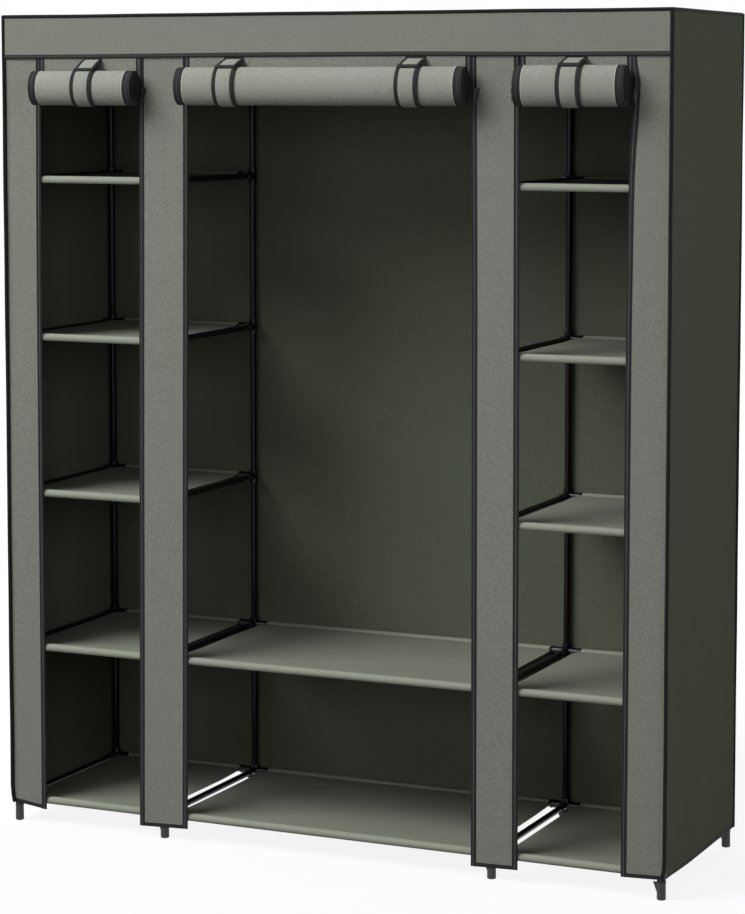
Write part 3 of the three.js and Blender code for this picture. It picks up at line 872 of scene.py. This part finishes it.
def build_header():
    """The band over the doors, its binding, and the sewn roots of the tabs."""
    xs = np.linspace(-HALF, HALF, 121)
    x, z = np.meshgrid(xs, np.linspace(HEADER_BOTTOM + 2, FRAME_TOP - 1, 17))
    low = 1 - (z - HEADER_BOTTOM) / (HEIGHT - HEADER_BOTTOM)
    grid = points_of(x, band_y(x, z, low), z + low * band_wave(x))
    band = panel("header", grid, cover_cloth, "cover_header_band")
    path = points_of(xs, band_y(xs, HEADER_BOTTOM, 1), HEADER_BOTTOM + 4.5 + band_wave(xs))
    rib = path - np.array([0, BAND_RIB_FORWARD, 0])
    parts = [
        sweep(path, rounded(*BAND_BINDING), (0, -1, 0), black_tape),
        # The raised rib is real; its lighter tape is a painted highlight.
        sweep(rib, rounded(*BAND_RIB), (0, -1, 0), rib_highlight_tape),
    ]
    for number, (*_, straps) in enumerate(DOORS):
        middle, half = door_place(number)
        for share in straps:
            x = middle + share * half
            root = [(x, HEADER_FRONT + y, HEADER_BOTTOM + z) for y, z in TAB_ROOT]
            parts.append(sweep(root, rounded(TAB_WIDTH, CLOTH, 0.5), (0, -1, 0), black_tape))
    trim = piece("header_binding", parts)


def build_cover():
    build_roof()
    hems = build_walls()
    piece("cover_piping", [*hems, *corner_piping(), roof_piping()])
    build_header()
    for number, strip in enumerate(STRIPS):
        build_strip(number, *strip)


def band_y(x, z, low):
    """The header band's place from front to back; low is 1 at its lower edge and 0 at the roof."""
    return HEADER_FRONT + HALF_CLOTH - BAND_BOW * low * (1 + ripple(x / 90, z / 200, 9))


def band_wave(x):
    """The header band's lower edge, measured up from its lowest place."""
    return np.interp(x, BAND_WAVE_X, BAND_WAVE)


def build_strip(number, left, right, hem_ends):
    """A front strip, with a zip tape along each edge that faces a door, and a bound hem."""
    u, share = np.meshgrid(np.linspace(0, 1, 11), np.linspace(0, 1, 110))
    low = hem_ends[0] * (1 - u) + hem_ends[1] * u
    z = low + (FRAME_TOP - low) * share
    x = edge_x(left, z) * (1 - u) + edge_x(right, z) * u
    y = strip_y(number, x, z)
    if number == 0:
        x = x + hem_curl(z) * (1 - u) ** 2
    if number == 3:
        reach = np.where(z > BULGE_HEIGHT, BULGE_ABOVE, BULGE_BELOW)
        push = np.exp(-((z - BULGE_HEIGHT) / reach) ** 2)
        x = x + BULGE_ASIDE * push * (1 - u) ** 2 - hem_curl(z) * u ** 2
        y = y - BULGE_FORWARD * push * (1 - u) ** 3
    grid = points_of(x, y, z)
    name = f"front_strip_{number + 1}"
    strip_cloth = panel(name, grid, cover_cloth, f"cover_{name}")
    trims = []
    for column, sign in {0: [(-1, -1)], 3: [(0, 1)]}.get(number, [(0, 1), (-1, -1)]):
        path = grid[:, column].copy()
        path[:, 0] += sign * (TAPE_WIDTH / 2 - 0.4)
        profile = [(sign * a, b) for a, b in TAPE_PROFILE]
        trims.append(sweep(path, profile, (0, -1, 0), black_tape))
        coil = path + np.array([-sign * 0.4, -1.1, 0])
        trims.append(sweep(coil, rounded(1.6, 1.0, 0.4), (0, -1, 0), zip_coil))
    hem = grid[0].copy()
    hem[:, 2] += STRIP_HEM_RISE
    trims.append(sweep(hem, rounded(*HEM_BINDING), (0, -1, 0), black_tape))
    trim = piece(f"{name}_tapes", trims)


# ---------- Doors ----------

def door_place(number):
    """The middle of a door's roll from left to right, and half its width."""
    _, _, height, offset, lap, _ = DOORS[number]
    knots = [0, BEND_HEIGHT, HEIGHT]
    left = float(np.interp(height, knots, STRIPS[number][1][::-1]))
    right = float(np.interp(height, knots, STRIPS[number + 1][0][::-1]))
    return (left + right) / 2 + offset, (right - left) / 2 + lap


def build_roll(number):
    """A door wound up from its hem: one sheet in a spiral, with the zip's tape along both ends."""
    side, rise, height = DOORS[number][:3]
    middle, half = door_place(number)
    axis_y = CURTAIN_BACK - ROLL_HALF_DEPTH
    core_rise = rise - ROLL_HALF_DEPTH + ROLL_CORE
    pitch = math.pi * (ROLL_HALF_DEPTH * rise - ROLL_CORE * core_rise) / DOOR_LENGTH
    turns = (ROLL_HALF_DEPTH - ROLL_CORE) / pitch
    count = int(turns * ROLL_STEPS)
    angle = 2 * math.pi * np.arange(count + 1) / ROLL_STEPS
    wound = pitch * angle / (2 * math.pi)
    stations = np.concatenate([
        -half + ROLL_EDGES,
        np.linspace(-half + ROLL_PLAIN_START, half - ROLL_PLAIN_START, max(7, int(half / 9))),
        half - ROLL_EDGES[::-1],
    ])
    x, a = np.meshgrid(stations, angle)
    layer = np.broadcast_to(wound[:, None], x.shape)
    turn = np.mod(a, 2 * math.pi)
    around = np.stack([np.cos(turn), np.sin(turn)])
    broad = ripple(x / 55 + around[0], around[1] * 1.2, 41 + number)
    fine = ripple(x / 16 + 2 * around[0], 2.5 * around[1], 51 + number)
    wobble = 0.5 + 0.5 * (0.7 * broad + 0.3 * fine)
    shrink = 1 - ROLL_SHRINK * np.clip(wobble, 0, 1.3)
    ends = eased(np.abs(x), half - ROLL_DRIFT_LENGTH, half)
    drift = np.sign(x) * ROLL_DRIFT * (np.sin(a * 0.29 + number) - 1) * ends
    sides = []
    for inset in (0.0, CLOTH):
        y = axis_y + (ROLL_HALF_DEPTH - layer - inset) * shrink * np.cos(a)
        z = height - (rise - layer - inset) * shrink * np.sin(a)
        sides.append(points_of(middle + x + drift, y, z))
    rows, columns = x.shape
    points = np.concatenate(sides).reshape(-1, 3)
    back = rows * columns
    groups = {lit_door_cloth: [], black_tape: [], fold_highlight_cloth: [], rib_highlight_tape: [], zip_coil: []}
    for c in range(columns - 1):
        band = min(c, columns - 2 - c)
        group = groups[ROLL_BANDS[band] if band < len(ROLL_BANDS) else lit_door_cloth]
        for r in range(rows - 1):
            i = r * columns + c
            quad = [i, i + 1, i + 1 + columns, i + columns]
            group.append(quad)
            group.append([back + k for k in reversed(quad)])
        for r in (0, rows - 1):
            i = r * columns + c
            group.append([i, i + 1, back + i + 1, back + i])
    for r in range(rows - 1):
        for c in (0, columns - 1):
            i = r * columns + c
            groups[zip_coil].append([i, i + columns, back + i + columns, back + i])
    obj = grouped_piece(
        f"{side}_roll_cloth", points, groups.items(),
        body=f"{side}_door", replaced=[f"{side}_door_roll"], angle=50,
    )


def build_curtain(number):
    """The cloth between the header and a roll."""
    side, _, height = DOORS[number][:3]
    middle, half = door_place(number)
    bottom = height + GAP
    hanging = np.linspace(bottom, HEADER_BOTTOM - 4, 34)
    zs = np.concatenate([hanging, np.linspace(HEADER_BOTTOM, CURTAIN_TOP, 6)])
    edge = np.array([0, CURTAIN_COIL, CURTAIN_COIL + COIL_WIDTH])
    flat = np.linspace(-half + TAPE_WIDTH, half - TAPE_WIDTH, 25)
    xs = np.concatenate([-half + edge, flat, half - edge[::-1]])
    grid = points_of(middle + xs[None], CURTAIN_BACK - HALF_CLOTH, zs[:, None])
    points, faces, _ = shell(grid, CLOTH, cover_cloth)
    size, width = grid.shape[0] * grid.shape[1], len(xs)
    groups = {cover_cloth: [], black_tape: [], zip_coil: []}
    for face in faces:
        columns = [v % size % width for v in face]
        band = min(min(columns), width - 1 - max(columns))
        groups[CURTAIN_BANDS[band] if band < len(CURTAIN_BANDS) else cover_cloth].append(face)
    obj = grouped_piece(
        f"{side}_curtain_cloth", points, groups.items(),
        body=None, replaced=[f"{side}_door_curtain"],
    )
    start = to_frame([(middle, CURTAIN_BACK, HEADER_BOTTOM - 4)])[0]
    end = to_frame([(middle, CURTAIN_BACK, bottom)])[0]
    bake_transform(obj)


def bound_strip(path, normals, width, binding, lift, corner=0.7):
    """A strip of cloth bound in black along both edges, carried along a path in the YZ plane."""
    half = width / 2
    # The strip's cloth is the lighter door copy, which is painted light.
    parts = [sweep(path, rounded(width - binding, CLOTH, 0.5), normals, lit_door_cloth)]
    for sign in (-1, 1):
        moved = np.array(path) + np.array([sign * (half - binding / 2), 0, 0])
        parts.append(sweep(moved, rounded(binding, lift, corner), normals, black_tape))
    return parts


def build_straps(number):
    """The straps that hold a roll: from the header down behind it, round it and up its front."""
    side, rise, height, _, _, straps = DOORS[number]
    middle, half = door_place(number)
    axis_y = CURTAIN_BACK - ROLL_HALF_DEPTH
    off = GAP + HALF_CLOTH + STRAP_SLACK
    for index, share in enumerate(straps):
        suffix = f"_{index + 1}" if len(straps) > 1 else ""
        x = middle + share * half
        behind = axis_y + ROLL_HALF_DEPTH + off - STRAP_SLACK
        path = [(x, behind, z) for z in np.linspace(CURTAIN_TOP, height + 2, 14)]
        normals = [(0, 1, 0)] * len(path)
        for a in np.linspace(0, 1.5 * math.pi, 60):
            y = axis_y + (ROLL_HALF_DEPTH + off) * math.cos(a)
            path.append((x, y, height - (rise + off) * math.sin(a)))
            normal = np.array([0, math.cos(a) / ROLL_HALF_DEPTH, -math.sin(a) / rise])
            normals.append(tuple(normal / np.linalg.norm(normal)))
        parts = bound_strip(path, normals, STRAP_WIDTH, STRAP_BINDING, 2.0)
        replaced = [f"{side}_roll_strap{suffix}"]
        obj = piece(f"{side}_strap{suffix}_cloth", parts, replaced=replaced)
        anchor = to_frame([(x, FRONT + 0.6, height)])[0]
        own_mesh(obj)
        build_tab(number, suffix, x)


def build_tab(number, suffix, x):
    """A bound tab that lies from its seam under the header band down over the end of the strap."""
    side, rise, height = DOORS[number][:3]
    node = f"{side}_strap_tab{suffix}"
    hinge = np.array([x, HEADER_FRONT - 0.8, HEADER_BOTTOM - 1])
    bend = np.radians(np.arange(0, 61))
    over = points_of(
        x,
        CURTAIN_BACK - ROLL_HALF_DEPTH - (ROLL_HALF_DEPTH + TAB_LIFT) * np.sin(bend),
        height + (rise + TAB_LIFT) * np.cos(bend),
    )
    touch = int(np.argmin((hinge[2] - over[:, 2]) / (hinge[1] - over[:, 1])))
    line = [hinge + (over[touch] - hinge) * t for t in np.linspace(0, 1, 24)]
    line = np.array(line + list(over[touch + 1:]))
    length = np.concatenate([[0], np.cumsum(np.linalg.norm(np.diff(line, axis=0), axis=1))])
    path = points_of(*(np.interp(np.linspace(0, TAB_LENGTH, 16), length, part) for part in line.T))
    along = np.gradient(path, axis=0)
    normal = points_of(0, along[:, 2], -along[:, 1])
    normal /= np.linalg.norm(normal, axis=1, keepdims=True)
    slack = TAB_SLACK * (1 - eased(np.linspace(0, TAB_LENGTH, len(path)), 0, TAB_SLACK_LENGTH))
    path -= normal * slack[:, None]
    parts = bound_strip(path, normal, TAB_WIDTH, TAB_BINDING, 2.0, 0.9)
    end = path[-2] + normal[-1] * 0.4
    across = points_of(end[0] + np.linspace(-TAB_WIDTH / 2, TAB_WIDTH / 2, 8), end[1], end[2])
    parts.append(sweep(across, rounded(TAB_BINDING + 2, 3.2, 1.2), normal[-1], black_tape))
    obj = piece(f"{side}_tab{suffix}_cloth", parts, body=node, replaced=[node])


def build_slider(side, which):
    """A zip slider: two plates, a bridge over the front one, and a pull that hangs from it."""
    node = f"{side}_door_slider_{which}"
    low, high = (np.array(corner) * 1000 - (0, SHIFT_Y, 0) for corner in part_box(node))
    x, back, z = (low[0] + high[0]) / 2, high[1], high[2] - PLATE_BELOW_TOP
    parts = []
    for face, thick in ((back, BACK_PLATE), (back - PLATE_STEP, FRONT_PLATE)):
        plate = [(x + a, face, z + b) for a, b in PLATE_OUTLINE]
        parts.append(prism(plate, (0, -thick, 0), slider_paint))
        crown = [(x + a * 0.72, face - thick, z + b * 0.76) for a, b in PLATE_OUTLINE]
        parts.append(prism(crown, (0, -PLATE_CROWN, 0), slider_paint))
    post = [(x + a, back - 1, z + b) for a, b in ((-1, 1), (1, 1), (1, 5), (-1, 5))]
    parts.append(prism(post, (0, -2.4, 0), slider_paint))
    t = np.linspace(0, 1, 14)
    arch = points_of(x, back - BRIDGE_FORWARD - 2.6 * np.sin(np.pi * t), z + 5.4 - 9 * t)
    parts.append(sweep(arch, rounded(2.6, 1.1, 0.5), (1, 0, 0), slider_paint))
    a = np.linspace(0, 2 * np.pi, 20, endpoint=False)
    lean = 1.4 * np.sin(a) * 0.3
    ring = points_of(
        x + RING_RADIUS * np.cos(a), back - RING_FORWARD + lean, z + 3.2 + RING_RADIUS * np.sin(a)
    )
    parts.append(sweep(ring, circle(0.55, 8), (0, 1, 0), slider_paint, closed=True))
    front = back - PULL_FORWARD
    pull = [(x + a, front, z + b) for a, b in PULL_OUTLINE]
    parts.append(prism(pull, (0, -PULL_THICK, 0), slider_paint))
    rim = [(x + a * 0.86, front - 0.9, z + b * 0.94 - 0.4) for a, b in PULL_OUTLINE]
    parts.append(sweep(rim, circle(0.4, 6), (0, 1, 0), slider_paint, closed=True))
    piece(f"{side}_slider_{which}", parts, "slider_metal", body=node, replaced=[node], angle=30)


def build_doors():
    for number in range(len(DOORS)):
        build_roll(number)
        build_curtain(number)
        build_straps(number)
        for which in ("left", "right"):
            build_slider(DOORS[number][0], which)


# ---------- Floor, light and camera ----------

def area_light(name, place, target, size, power):
    data = bpy.data.lights.new(name, "AREA")
    data.shape = "RECTANGLE"
    data.size, data.size_y = size
    data.energy = power
    lamp = add_object(name, data)
    lamp.location = place
    lamp.rotation_euler = (Vector(target) - Vector(place)).to_track_quat("-Z", "Y").to_euler()


def seen_rays(nodes, links):
    """1 for camera, glossy and transmission rays, and 0 for the rest."""
    paths = add_node(nodes, "LightPath")
    first = add_node(nodes, "Math", "MAXIMUM")
    second = add_node(nodes, "Math", "MAXIMUM")
    links.new(paths.outputs["Is Camera Ray"], first.inputs[0])
    links.new(paths.outputs["Is Glossy Ray"], first.inputs[1])
    links.new(first.outputs[0], second.inputs[0])
    links.new(paths.outputs["Is Transmission Ray"], second.inputs[1])
    return second.outputs[0]


def build_world():
    """A plain light, and white where a camera, glossy or transmission ray sees it."""
    world = bpy.data.worlds.new("studio")
    world.use_nodes = True
    bpy.context.scene.world = world
    nodes, links = graph(world)
    lit = nodes["Background"]
    lit.inputs["Color"].default_value = WHITE
    lit.inputs["Strength"].default_value = WORLD_LIGHT
    seen = add_node(nodes, "Background", Color=WHITE, Strength=1.0)
    mix = add_node(nodes, "MixShader")
    links.new(seen_rays(nodes, links), mix.inputs["Fac"])
    links.new(lit.outputs[0], mix.inputs[1])
    links.new(seen.outputs[0], mix.inputs[2])
    links.new(mix.outputs[0], nodes["World Output"].inputs["Surface"])


def build_floor():
    """A plain floor that looks white further off and still takes the object's shadow."""
    mesh = bpy.data.meshes.new("floor")
    far = FLOOR_REACH
    corners = [(-far, -far, 0), (far, -far, 0), (far, far, 0), (-far, far, 0)]
    mesh.from_pydata(corners, [], [(0, 1, 2, 3)])
    floor = add_object("floor", mesh)
    material = new_material("floor", grey(FLOOR_GREY), 0.9, Specular_IOR_Level=0.0)
    nodes, links = graph(material)
    glow = add_node(nodes, "Emission", Color=WHITE)
    place = add_node(nodes, "TexCoord")
    away = add_node(nodes, "VectorMath", "LENGTH")
    links.new(place.outputs["Object"], away.inputs[0])
    fade = add_node(nodes, "MapRange", **FLOOR_GLOW)
    links.new(away.outputs["Value"], fade.inputs["Value"])
    dim = add_node(nodes, "Math", "MULTIPLY")
    links.new(seen_rays(nodes, links), dim.inputs[0])
    links.new(fade.outputs["Result"], dim.inputs[1])
    links.new(dim.outputs[0], glow.inputs["Strength"])
    add = add_node(nodes, "AddShader")
    links.new(nodes["Principled BSDF"].outputs[0], add.inputs[0])
    links.new(glow.outputs[0], add.inputs[1])
    links.new(add.outputs[0], nodes["Material Output"].inputs["Surface"])
    mesh.materials.append(material)


def build_camera():
    """The photograph's viewpoint, lens and shift."""
    yaw, pitch = math.radians(CAMERA_YAW), math.radians(CAMERA_PITCH)
    place = to_frame([CAMERA_PLACE])[0]
    level = math.cos(pitch)
    forward = Vector((math.sin(yaw) * level, math.cos(yaw) * level, math.sin(pitch)))
    right = Vector((math.cos(yaw), -math.sin(yaw), 0))
    up = right.cross(forward)
    data = bpy.data.cameras.new("camera")
    data.sensor_width = 36.0
    data.lens = CAMERA_PIXELS * data.sensor_width / IMAGE_HEIGHT
    data.shift_y = CAMERA_SHIFT
    data.clip_end = 60
    camera = add_object("camera", data)
    turn = Matrix((right, up, -forward)).transposed().to_4x4()
    camera.matrix_world = Matrix.Translation(place) @ turn
    bpy.context.scene.camera = camera


build_camera()
build_frame()
build_shelves()
build_cover()
build_doors()
build_floor()
build_world()
for lamp in LAMPS:
    area_light(*lamp)
bpy.context.scene.view_settings.view_transform = "Standard"
